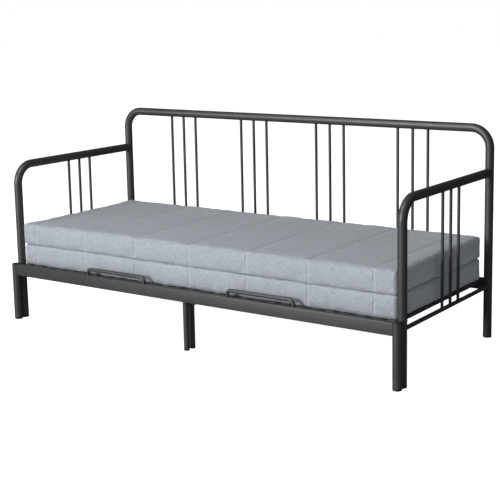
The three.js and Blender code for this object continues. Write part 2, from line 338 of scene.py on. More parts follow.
def facing(turn, rise):
    """The direction (sin turn cos rise, -cos turn cos rise, sin rise)."""
    return np.array([math.sin(turn) * math.cos(rise), -math.cos(turn) * math.cos(rise), math.sin(rise)])


def stand(thing, right, up, back, place):
    """Puts a camera or lamp at a place, with its own axes along right, up and back."""
    holder = bpy.data.objects.new(thing.name, thing)
    matrix = np.eye(4)
    matrix[:3] = np.column_stack([right, up, back, place])
    holder.matrix_world = Matrix(matrix.tolist())
    bpy.context.scene.collection.objects.link(holder)
    return holder


# ---- finishes


class Nodes:
    """Short ways to add and join nodes in one tree."""

    def __init__(self, tree):
        self.tree = tree
        self.link = tree.links.new

    def add(self, kind, values=None, **settings):
        """A node of the kind, with its settings, and its inputs set to values or joined to sockets."""
        node = self.tree.nodes.new(kind)
        for key, value in settings.items():
            setattr(node, key, value)
        for key, value in (values or {}).items():
            self.give(value, node.inputs[key])
        return node

    def give(self, value, socket):
        """Sets an input to a value, or joins it to another socket."""
        if isinstance(value, bpy.types.NodeSocket):
            self.link(value, socket)
        else:
            socket.default_value = value

    def math(self, operation, first, second=0.0):
        """One sum on values or sockets."""
        return self.add("ShaderNodeMath", {0: first, 1: second}, operation=operation).outputs[0]

    def mixed(self, share, first, second):
        """A colour between first and second."""
        node = self.add("ShaderNodeMix", data_type="RGBA")
        for key, value in (("Factor", share), ("A", first), ("B", second)):
            self.give(value, next(s for s in node.inputs if s.name == key and s.enabled))
        return next(s for s in node.outputs if s.enabled)

    def blend(self, share, first, second):
        """A shader between first and second."""
        return self.add("ShaderNodeMixShader", {0: share, 1: first, 2: second}).outputs[0]

    def scaled(self, value, to_low, to_high, low=0.0, high=1.0, kind="LINEAR"):
        """The value moved from between low and high to between to_low and to_high."""
        ranges = {"Value": value, "From Min": low, "From Max": high, "To Min": to_low, "To Max": to_high}
        return self.add("ShaderNodeMapRange", ranges, interpolation_type=kind).outputs["Result"]

    def ramp(self, value, low, high):
        """0 at low, 1 at high, smooth between."""
        return self.scaled(value, 0.0, 1.0, low, high, "SMOOTHSTEP")

    def noise(self, vector, scale, detail=2.0, roughness=0.5):
        """A noise value."""
        values = {"Vector": vector, "Scale": scale, "Detail": detail, "Roughness": roughness}
        return self.add("ShaderNodeTexNoise", values).outputs["Fac"]

    def bump(self, height, strength, depth):
        """A normal tilted by the slope of the height."""
        values = {"Height": height, "Strength": strength, "Distance": depth}
        return self.add("ShaderNodeBump", values).outputs["Normal"]


def new_group(name, sizes, outputs):
    """A shader node group with a vector and named sizes as inputs, and named values as outputs."""
    tree = bpy.data.node_groups.new(name, "ShaderNodeTree")
    tree.interface.new_socket("Vector", in_out="INPUT", socket_type="NodeSocketVector")
    for label, value in sizes.items():
        tree.interface.new_socket(label, in_out="INPUT", socket_type="NodeSocketFloat").default_value = value
    for label in outputs:
        tree.interface.new_socket(label, in_out="OUTPUT", socket_type="NodeSocketFloat")
    nodes = Nodes(tree)
    return nodes, nodes.add("NodeGroupInput").outputs, nodes.add("NodeGroupOutput").inputs


def moulded_grain():
    """Fine grain of a sprayed or moulded surface: a small noise on a slow one, and a slow mask."""
    sizes = {"Grain Size": 1 * MM, "Patch Size": 50 * MM}
    nodes, given, out = new_group("moulded grain", sizes, ("Height", "Patches"))
    place, size = given["Vector"], given["Grain Size"]
    fine = nodes.noise(place, nodes.math("DIVIDE", 1.0, size), detail=3.0, roughness=0.6)
    slow = nodes.noise(place, nodes.math("DIVIDE", 0.25, size), detail=1.0)
    patches = nodes.noise(place, nodes.math("DIVIDE", 1.0, given["Patch Size"]), detail=3.0, roughness=0.55)
    height = nodes.math("ADD", nodes.math("MULTIPLY", fine, 0.7), nodes.math("MULTIPLY", slow, 0.5))
    nodes.link(height, out["Height"])
    nodes.link(nodes.ramp(patches, low=0.3, high=0.7), out["Patches"])
    return nodes.tree


def plain_weave():
    """Threads over and under in turn on the piece's own map, and yarns that are lighter and darker by turns.

    The height is the size of sin (pi distance over thread), of the one direction where the sum of the two
    whole numbers of threads is odd and of the other where it is even.
    """
    nodes, given, out = new_group("plain weave", {"Thread": 1.5 * MM}, ("Height", "Crossing", "Heather"))
    apart = nodes.add("ShaderNodeSeparateXYZ", {0: given["Vector"]}).outputs
    waves, whole = [], []
    for axis in ("X", "Y"):
        count = nodes.math("DIVIDE", apart[axis], given["Thread"])
        waves.append(nodes.math("ABSOLUTE", nodes.math("SINE", nodes.math("MULTIPLY", count, math.pi))))
        whole.append(nodes.math("FLOOR", count))
    turn = nodes.math("FLOORED_MODULO", nodes.math("ADD", *whole), 2.0)
    over = nodes.math("MULTIPLY", turn, waves[0])
    under = nodes.math("MULTIPLY", nodes.math("SUBTRACT", 1.0, turn), waves[1])
    nodes.link(nodes.math("ADD", over, under), out["Height"])
    nodes.link(turn, out["Crossing"])
    yarns = []
    for scale in ((YARN_ALONG, YARN_ACROSS, 1), (YARN_ACROSS, YARN_ALONG, 1)):
        stretched = nodes.add("ShaderNodeMapping", {"Vector": given["Vector"], "Scale": scale}).outputs[0]
        yarns.append(nodes.math("MULTIPLY", nodes.noise(stretched, 1.0, detail=3.0, roughness=0.65), 0.5))
    nodes.link(nodes.ramp(nodes.math("ADD", *yarns), low=0.36, high=0.64), out["Heather"])
    return nodes.tree


def new_material(name, colour, roughness, specular):
    """A material whose shader has its plain values set on its own sockets."""
    made = bpy.data.materials.new(name)
    made.use_nodes = True
    made.diffuse_color = (*colour, 1)
    shader = made.node_tree.nodes["Principled BSDF"].inputs
    shader["Base Color"].default_value = (*colour, 1)
    shader["Roughness"].default_value = roughness
    shader["Specular IOR Level"].default_value = specular
    return Nodes(made.node_tree), shader


def grained_material(name, colour, group, lighter, roughness, grain, depth, patch, specular=0.5, dulled=0.0):
    """Paint or plastic: a base colour that drifts in patches to lighter times itself, and fine grain.

    The grain dulls the gloss where the surface is seen edge on, by as much as dulled.
    """
    nodes, shader = new_material(name, colour, roughness, specular)
    place = nodes.add("ShaderNodeTexCoord").outputs["Object"]
    sizes = {"Vector": place, "Grain Size": grain, "Patch Size": patch}
    grains = nodes.add("ShaderNodeGroup", sizes, node_tree=group).outputs
    patches = grains["Patches"]
    light = tuple(lighter * value for value in colour)
    nodes.link(nodes.mixed(patches, (*colour, 1), (*light, 1)), shader["Base Color"])
    gloss = nodes.scaled(patches, roughness - 0.03, roughness + 0.04)
    edge_on = nodes.add("ShaderNodeLayerWeight", {"Blend": 0.5}).outputs["Facing"]
    dull = nodes.math("MULTIPLY", nodes.ramp(edge_on, low=0.45, high=0.8), dulled)
    nodes.link(nodes.math("ADD", gloss, dull), shader["Roughness"])
    nodes.link(nodes.bump(grains["Height"], 0.6, depth), shader["Normal"])


def cover_material(bedding, weave_group, grain_group):
    """Heathered cloth: light and dark yarns crossing, slow drift of shade, weave relief and a soft sheen."""
    light, dark = tuple(bedding.cover_light), tuple(bedding.cover_dark)
    nodes, shader = new_material("mattress cover", light, 0.92, 0.15)
    shader["Sheen Weight"].default_value = 0.12
    shader["Sheen Roughness"].default_value = 0.5
    mapped = nodes.add("ShaderNodeUVMap", uv_map="cloth").outputs["UV"]
    threads = {"Vector": mapped, "Thread": bedding.thread}
    weave = nodes.add("ShaderNodeGroup", threads, node_tree=weave_group).outputs
    place = nodes.add("ShaderNodeTexCoord").outputs["Object"]
    sizes = {"Vector": place, "Grain Size": 6 * MM, "Patch Size": 90 * MM}
    grains = nodes.add("ShaderNodeGroup", sizes, node_tree=grain_group).outputs
    yarn = nodes.mixed(weave["Heather"], (*dark, 1), (*light, 1))
    crossing = nodes.scaled(weave["Crossing"], 0.92, 1.05)
    flecks = nodes.scaled(grains["Height"], 0.93, 1.06, low=0.4, high=0.8)
    drift = nodes.scaled(grains["Patches"], 0.97, 1.02)
    # The seam attribute scales the cloth's colour: darker in each seam's groove, as painted shade, and
    # lighter along a line beside it, partly a lighter thread and partly a painted highlight on the fold.
    seam = nodes.add("ShaderNodeAttribute", attribute_name="seam_shade").outputs["Fac"]
    shade = crossing
    for part in (flecks, drift, seam):
        shade = nodes.math("MULTIPLY", shade, part)
    hue = nodes.add("ShaderNodeHueSaturation", {"Color": yarn, "Value": shade})
    nodes.link(hue.outputs[0], shader["Base Color"])
    nodes.link(nodes.bump(weave["Height"], 0.5, 0.4 * MM), shader["Normal"])


# ---- settings


def setting(name, about, value, **kind):
    """A number, or three of them, that can be set."""
    if isinstance(value, tuple):
        return bpy.props.FloatVectorProperty(name=name, description=about, default=value, size=3, **kind)
    return bpy.props.FloatProperty(name=name, description=about, default=value, **kind)


def a_length(name, about, metres):
    """A length or a place."""
    return setting(name, about, metres, unit="LENGTH")


def a_share(name, about, share):
    """A share between 0 and 1."""
    return setting(name, about, share, min=0, max=1, subtype="FACTOR")


def a_colour(name, about, colour):
    """A colour."""
    return setting(name, about, colour, subtype="COLOR")


def an_angle(name, about, degrees):
    """An angle."""
    return setting(name, about, math.radians(degrees), subtype="ANGLE")


def a_power(name, about, watts):
    """A light's power."""
    return setting(name, about, watts, unit="POWER")


class DaybedSteel(bpy.types.PropertyGroup):
    """Sizes of the steel work."""

    back_bend: a_length("Back bend", "Radius of the bends of the back tube", 85 * MM)
    arm_bend: a_length("Arm bend", "Radius of the bends of the arm tubes", 89 * MM)
    hoop_bend: a_length("Hoop bend", "Radius of the bends of the mattress hoops", 20 * MM)
    rail_corner: a_length("Rail corner", "Radius of the long edges of the rails", 3 * MM)
    slat_corner: a_length("Slat corner", "Radius of the long edges of the slats", 2.5 * MM)
    bead: a_length("Weld bead", "Radius of the weld beads", 1.9 * MM)
    cap_height: a_length("Cap height", "How far the caps stand above the pull-out legs", 3.5 * MM)


class DaybedFinish(bpy.types.PropertyGroup):
    """Paint and plastic."""

    paint: a_colour("Paint", "Colour of the powder coat", (0.033, 0.033, 0.034))
    paint_gloss: a_share("Paint roughness", "Roughness of the powder coat", 0.47)
    grain: a_length("Paint grain", "Size of the grain of the powder coat", 1.2 * MM)
    plastic: a_colour("Plastic", "Colour of the feet and caps", (0.011, 0.011, 0.012))


class DaybedBedding(bpy.types.PropertyGroup):
    """The two mattresses."""

    cover_light: a_colour("Light yarn", "Colour of the lighter yarn", (0.475, 0.507, 0.55))
    cover_dark: a_colour("Dark yarn", "Colour of the darker yarn", (0.315, 0.343, 0.385))
    thread: a_length("Thread", "Distance between threads of the weave", 1.4 * MM)
    edge: a_length("Edge radius", "Rounding of the mattress edges", 14 * MM)
    seam_pitch: a_length("Seam distance", "Distance between the cross seams", 301 * MM)
    seam_shift: a_length("Seam shift", "How far the middle seam lies from the middle", -9 * MM)
    seam_depth: a_length("Seam depth", "Depth of the groove at a seam", 1.0 * MM)
    swell: a_length("Swell", "The most that the cover may swell between its seams", 3.5 * MM)
    spacing: a_length("Mesh spacing", "Distance between mesh lines before smoothing", 16 * MM)


class DaybedStage(bpy.types.PropertyGroup):
    """Camera, floor and lights."""

    place: a_length("Camera place", "Where the camera stands", (3.0277, -4.228, 1.4703))
    turn: an_angle("Camera turn", "Turn of the view to the left", 34.16)
    tilt: an_angle("Camera tilt", "Tilt of the view downwards", 9.615)
    roll: an_angle("Camera roll", "Roll of the view", -0.974)
    lens: setting("Focal length", "Focal length for a 36 mm sensor", 84.24, unit="CAMERA")
    front_light: a_power("Front light", "Power of the low soft light in front", 2700)
    top_light: a_power("Top light", "Power of the long soft light overhead", 57)
    back_light: a_power("Back light", "Power of the weak soft light behind", 24)
    surround: a_share("Surround", "Brightness of the room on the object", 0.17)


# ---- operators


class DAYBED_OT_stage(bpy.types.Operator):
    """Camera, pale floor, white room and soft lights"""

    bl_idname = "daybed.stage"
    bl_label = "Stage"

    def execute(self, context):
        settings = context.scene.daybed_stage
        self.camera(context, settings)
        self.room(context, settings)
        self.floor()
        # Turn and rise are in degrees, the distance and the two sides of the light in metres.
        for name, turn, rise, far, sides, power in (
            ("front light", -20, 13, 20.0, (7.6, 6.0), settings.front_light),
            ("top light", -4, 57, 3.6, (2.6, 0.4), settings.top_light),
            ("back light", 172, 50, 4.2, (2.6, 1.4), settings.back_light),
        ):
            towards = facing(math.radians(turn), math.radians(rise))
            self.light(name, LIT_POINT + far * towards, towards, sides, power)
        return {"FINISHED"}

    def camera(self, context, settings):
        """The camera faces back along its turn and tilt, and is rolled about that direction."""
        back = facing(settings.turn, settings.tilt)
        level = np.array([math.cos(settings.turn), math.sin(settings.turn), 0])
        rise = np.cross(back, level)
        cos, sin = math.cos(settings.roll), math.sin(settings.roll)
        camera = bpy.data.cameras.new("camera")
        camera.lens = settings.lens
        camera.sensor_width = 36
        camera.shift_x, camera.shift_y = LENS_SHIFT
        right, up = level * cos + rise * sin, rise * cos - level * sin
        context.scene.camera = stand(camera, right, up, back, settings.place)

    def room(self, context, settings):
        """White where it is seen straight, dimmer as a light on the object, and dimmest in reflections."""
        context.scene.view_settings.view_transform = "Standard"
        world = bpy.data.worlds.new("room")
        context.scene.world = world
        world.use_nodes = True
        nodes = Nodes(world.node_tree)
        seen = world.node_tree.nodes["Background"]
        seen.inputs["Color"].default_value = WHITE
        seen.inputs["Strength"].default_value = 1.0
        cast, mirrored = (
            nodes.add("ShaderNodeBackground", {"Color": WHITE, "Strength": strength}).outputs[0]
            for strength in (settings.surround, settings.surround * 0.3)
        )
        path = nodes.add("ShaderNodeLightPath").outputs
        lit = nodes.blend(path["Is Glossy Ray"], cast, mirrored)
        mix = nodes.blend(path["Is Camera Ray"], lit, seen.outputs[0])
        nodes.link(mix, world.node_tree.nodes["World Output"].inputs["Surface"])

    def floor(self):
        """A wide pale floor that is seen almost white, takes a faint shadow, and is dark in reflections."""
        nodes, _ = new_material("pale floor", (0.8, 0.8, 0.8), 0.9, 0.0)
        tree = nodes.tree.nodes
        matt = tree["Principled BSDF"].outputs[0]
        glow = nodes.add("ShaderNodeEmission", {"Color": WHITE, "Strength": 0.92}).outputs[0]
        both = nodes.add("ShaderNodeAddShader", {0: matt, 1: glow}).outputs[0]
        dim = nodes.add("ShaderNodeBsdfDiffuse", {"Color": (0.12, 0.12, 0.12, 1)}).outputs[0]
        path = nodes.add("ShaderNodeLightPath").outputs
        cast = nodes.blend(path["Is Glossy Ray"], matt, dim)
        mix = nodes.blend(path["Is Camera Ray"], cast, both)
        nodes.link(mix, tree["Material Output"].inputs["Surface"])
        corners = [(x * FLOOR_HALF, y * FLOOR_HALF, 0) for x, y in ((-1, -1), (1, -1), (1, 1), (-1, 1))]
        floor = new_object("floor", corners, [(0, 1, 2, 3)], material("pale_floor"))

    def light(self, name, place, towards, sides, power):
        """A wide soft light at a place, facing back along towards. Only the one behind has no reflection."""
        lamp = bpy.data.lights.new(name, "AREA")
        lamp.shape = "RECTANGLE"
        lamp.size, lamp.size_y = sides
        lamp.energy = power
        side = unit(np.cross(Z, towards))
        stand(lamp, side, np.cross(towards, side), towards, place).visible_glossy = name != "back light"


class DAYBED_OT_finishes(bpy.types.Operator):
    """Powder coat, moulded plastic and the woven mattress cover"""

    bl_idname = "daybed.finishes"
    bl_label = "Finishes"

    def execute(self, context):
        finish, group = context.scene.daybed_finish, moulded_grain()
        grained_material(
            "frame paint", tuple(finish.paint), group, lighter=1.12, roughness=finish.paint_gloss,
            grain=finish.grain, depth=0.03 * MM, patch=120 * MM, specular=0.95, dulled=0.35,
        )
        grained_material(
            "foot plastic", tuple(finish.plastic), group, lighter=1.3, roughness=0.48,
            grain=0.9 * MM, depth=0.08 * MM, patch=20 * MM,
        )
        cover_material(context.scene.daybed_bedding, plain_weave(), group)
        return {"FINISHED"}


class DAYBED_OT_tubes(bpy.types.Operator):
    """The bent back tube, the two arm tubes, the side rails and the plain legs"""

    bl_idname = "daybed.tubes"
    bl_label = "Bent tubes and legs"

    def execute(self, context):
        steel = context.scene.daybed_steel
        low, high = low_high("back_frame_tube")
        radius = (high[1] - low[1]) / 2
        y, side, top = (low[1] + high[1]) / 2, high[0] - radius, high[2] - radius
        corners = [(-side, y, low[2]), (-side, y, top), (side, y, top), (side, y, low[2])]
        add_painted("back_frame_tube", carried(circle(radius), bent_path(corners, steel.back_bend), Y))
        for hand in HANDS:
            low, high = low_high(f"{hand}_arm_tube")
            x, leg_y, top = (low[0] + high[0]) / 2, low[1] + radius, high[2] - radius
            corners = [(x, y, top), (x, leg_y, top), (x, leg_y, low[2])]
            add_painted(f"{hand}_arm_tube", carried(circle(radius), bent_path(corners, steel.arm_bend), X))
            low, high = low_high(f"{hand}_side_rail")
            z = (low[2] + high[2]) / 2
            bar = circle((high[2] - low[2]) / 2, 32)
            add_painted(f"{hand}_side_rail", straight(bar, (x, leg_y, z), (x, y, z), Z))
        for node in ("middle_leg", "sliding_middle_leg", *CAPPED_LEGS):
            x, y, foot, head, radius = upright(node)
            top = head - (UNDER_CAP if node in CAPPED_LEGS else 0)
            add_painted(node, straight(circle(radius), (x, y, foot), (x, y, top), Y))
        return {"FINISHED"}


class DAYBED_OT_spindles(bpy.types.Operator):
    """The thin upright bars of the back and the arms"""

    bl_idname = "daybed.spindles"
    bl_label = "Spindles"

    def execute(self, context):
        into = 9 * MM
        for node in BACK_SPINDLES + [f"{hand}_arm_spindle_{i}" for hand in HANDS for i in (1, 2, 3)]:
            x, y, foot, head, radius = upright(node)
            add_painted(node, straight(circle(radius, 28), (x, y, foot - into), (x, y, head + into), Y))
        return {"FINISHED"}


class DAYBED_OT_rails(bpy.types.Operator):
    """The oblong beams, the pull-out rail and its rear bar, and the middle leg's plate"""

    bl_idname = "daybed.rails"
    bl_label = "Rails and beams"

    def execute(self, context):
        corner = context.scene.daybed_steel.rail_corner
        ends = {"rear_beam": 6 * MM, "front_beam": 6 * MM, "sliding_rail": 0, "sliding_rear_bar": 0}
        for node, into in ends.items():
            low, high = low_high(node)
            y, z = (low + high)[1:] / 2
            profile = rounded_rectangle(*(high - low)[1:], corner)
            start, end = (low[0] - into, y, z), (high[0] + into, y, z)
            add_painted(node, straight(profile, start, end, Z, 0 if into else 0.6 * MM))
        low, high = low_high("middle_leg_plate")
        x, y = (low + high)[:2] / 2
        profile = rounded_rectangle(*(high - low)[:2], 5 * MM)
        plate = straight(profile, (x, y, low[2]), (x, y, high[2] + 0.3 * MM), Y, EASED)
        heads = [button_bolt((x + way * 17 * MM, y, low[2] + 0.2 * MM), -Z, 4 * MM) for way in (-1, 1)]
        add_painted("middle_leg_plate", joined([plate, *heads]))
        return {"FINISHED"}


class DAYBED_OT_slats(bpy.types.Operator):
    """The flat cross slats, fixed ones and pull-out ones in turn"""

    bl_idname = "daybed.slats"
    bl_label = "Slats"

    def execute(self, context):
        corner = context.scene.daybed_steel.slat_corner
        pitch = (centre("fixed_slat_2")[0] - centre("fixed_slat_1")[0]) / 4
        # The slats between the nodes of a kind, counted in pitches from the middle.
        for kind, between in (("fixed", range(-12, 13, 4)), ("sliding", (-11, -7, -3, 3, 7, 11))):
            nodes = [f"{kind}_slat_{i}" for i in range(1, 9)]
            low, high = low_high(nodes[0])
            for node in nodes:
                add_painted(node, self.slat(centre(node)[0], low, high, corner))
            more = [self.slat(place * pitch, low, high, corner) for place in between]
            add_piece(f"{kind}_slats_between", joined(more), BODY_OF[nodes[0]], "frame_paint")
        self.guides_and_shade_fill(pitch, high[0] - low[0])
        return {"FINISHED"}

    def guides_and_shade_fill(self, pitch, slat_width):
        """Plastic blocks on the front beam that keep the slats apart, one in the middle of each gap. They
        stand up to just under the slats' tops, so their near-black plastic also fills the gap behind the rail
        with dark, as painted shade.
        """
        low, high = low_high("front_beam")
        # The blocks reach just under the slats' tops so that the gap behind the rail reads dark: painted
        # shade.
        foot, top = high[2] - 0.5 * MM, low_high("fixed_slat_1")[1][2] - 0.3 * MM
        profile = rounded_rectangle(pitch - slat_width - 1.6 * MM, high[1] - low[1] - 1 * MM, 2 * MM, 4)
        y = (low[1] + high[1]) / 2
        gaps = (np.arange(28) - 13.5) * pitch
        blocks = [straight(profile, (x, y, foot), (x, y, top), Y, EASED) for x in gaps]
        add_piece("slat_guides_and_shade_fill", joined(blocks), BODY_OF["front_beam"], "foot_plastic")

    def slat(self, x, low, high, corner):
        """One slat at x, as long and deep as the given box."""
        size = high - low
        profile = rounded_rectangle(size[0], size[2], corner, 4)[:, ::-1]
        z = (low[2] + high[2]) / 2
        return straight(profile, (x, low[1], z), (x, high[1], z), X, EASED)


class DAYBED_OT_hoops(bpy.types.Operator):
    """The two low hoops on the pull-out rail that keep the mattress in place"""

    bl_idname = "daybed.hoops"
    bl_label = "Mattress hoops"

    def execute(self, context):
        bend = context.scene.daybed_steel.hoop_bend
        for hand in HANDS:
            low, high = low_high(f"{hand}_mattress_hoop")
            radius = (high[1] - low[1]) / 2
            y, top = (low[1] + high[1]) / 2, high[2] - radius
            left, right, foot = low[0] + radius, high[0] - radius, low[2] - 2 * MM
            corners = [(left, y, foot), (left, y, top), (right, y, top), (right, y, foot)]
            hoop = carried(circle(radius, 24), bent_path(corners, bend, 14), Y)
            add_painted(f"{hand}_mattress_hoop", hoop)
        return {"FINISHED"}


class DAYBED_OT_feet(bpy.types.Operator):
    """Plastic feet in the tube ends and the caps on the pull-out legs"""

    bl_idname = "daybed.feet"
    bl_label = "Feet and caps"

    def execute(self, context):
        for node in [name for name in BODY_OF if name.endswith("_foot")]:
            x, y, foot, _, radius = upright(node)
            surface = turned(self.rings(radius, FOOT_RINGS), (x, y, foot), Z)
            add_piece(node + "_fine", surface, BODY_OF[node], "foot_plastic", [node])
        rise = context.scene.daybed_steel.cap_height / MM
        dome = ((0.2, 0.55 * rise), (1.2, 0.82 * rise), (3.2, 0.96 * rise), (6, rise))
        caps = []
        for node in CAPPED_LEGS:
            x, y, _, head, radius = upright(node)
            caps.append(turned(self.rings(radius, CAP_RIM + dome), (x, y, head - UNDER_CAP), Z))
        add_piece("sliding_leg_caps", joined(caps), "under_frame", "foot_plastic")
        return {"FINISHED"}

    def rings(self, radius, profile):
        """Rings of a turned shape from (distance inside the radius, height), both in millimetres."""
        return [(radius - inside * MM, height * MM) for inside, height in profile]


class DAYBED_OT_joints(bpy.types.Operator):
    """Weld beads where bars meet, and the bolts that hold the arms to the back"""

    bl_idname = "daybed.joints"
    bl_label = "Welds and bolts"

    def execute(self, context):
        bead = context.scene.daybed_steel.bead
        small = 0.8 * bead
        fixed, sliding = [], []
        low, high = low_high("back_frame_tube")
        tube = (high[1] - low[1]) / 2
        back_y, back_z = (high - tube)[1:]
        rear_top, rail_top = low_high("rear_beam")[1][2], low_high("sliding_rail")[1][2]
        for node in BACK_SPINDLES:
            x, y, _, _, bar = upright(node)
            fixed.append(weld((x, y, back_z), -Z, X, tube, bar, small))
            fixed.append(weld((x, y, rear_top), Z, X, 0, bar, small))
        for hand in HANDS:
            x, _, z = centre(f"{hand}_side_rail")
            rail = low_high(f"{hand}_side_rail")[1][2] - z
            arm_low, arm_high = low_high(f"{hand}_arm_tube")
            leg_y, side = arm_low[1] + tube, np.sign(x)
            for i in (1, 2, 3):
                bar_x, y, _, _, bar = upright(f"{hand}_arm_spindle_{i}")
                fixed.append(weld((bar_x, y, arm_high[2] - tube), -Z, Y, tube, bar, small))
                fixed.append(weld((bar_x, y, z), Z, Y, rail, bar, small))
            fixed.append(weld((x, leg_y, z), Y, Z, tube, rail, bead))
            fixed += self.oblong("rear_beam", side, back_y, tube, small)
            fixed += self.oblong("front_beam", side, leg_y, tube, small)
            sliding += self.oblong("sliding_rail", side, centre("sliding_rail")[1], tube, small)
        for hand in HANDS:
            low, high = low_high(f"{hand}_mattress_hoop")
            bar = (high[1] - low[1]) / 2
            for x in (low[0] + bar, high[0] - bar):
                sliding.append(weld((x, (low[1] + high[1]) / 2, rail_top), Z, X, 0, bar, 0.7 * bead))
        for leg, above, welds in (
            ("middle_leg", "middle_leg_plate", fixed),
            ("sliding_middle_leg", "sliding_rail", sliding),
        ):
            x, y, _, _, radius = upright(leg)
            welds.append(weld((x, y, low_high(above)[0][2]), -Z, X, 0, radius, bead))
        add_piece("frame_welds", joined(fixed), "frame", "frame_paint", sharp=80)
        add_piece("under_frame_welds", joined(sliding), "under_frame", "frame_paint", sharp=80)
        self.bolts(tube, rail_top)
        return {"FINISHED"}

    def oblong(self, node, side, leg_y, tube, bead):
        """Weld along the two upright edges of an oblong beam where it meets a round leg."""
        low, high = low_high(node)
        made = []
        for y in (low[1], high[1]):
            offset = y - leg_y
            x = side * (abs(centre("left_arm_tube")[0]) - math.sqrt(max(tube**2 - offset**2, 0)))
            made.append(seam_weld((x, y, low[2] + 2 * MM), (x, y, high[2] - 2 * MM), bead))
        return made

    def bolts(self, tube, rail_top):
        """Bolt heads outside the front legs, and behind the posts at the arms and the side rails."""
        heads = []
        out = tube - 0.5 * MM
        post_y = centre("rear_beam")[1]
        for hand in HANDS:
            (x, _, rail_z), (low, high) = centre(f"{hand}_side_rail"), low_high(f"{hand}_arm_tube")
            side = np.sign(x)
            heads.append(button_bolt((x + side * out, low[1] + tube, rail_top), side * X))
            for z in (high[2] - tube, rail_z):
                heads.append(button_bolt((x, post_y + out, z), Y))
        add_piece("frame_bolts", joined(heads), "frame", "frame_paint")


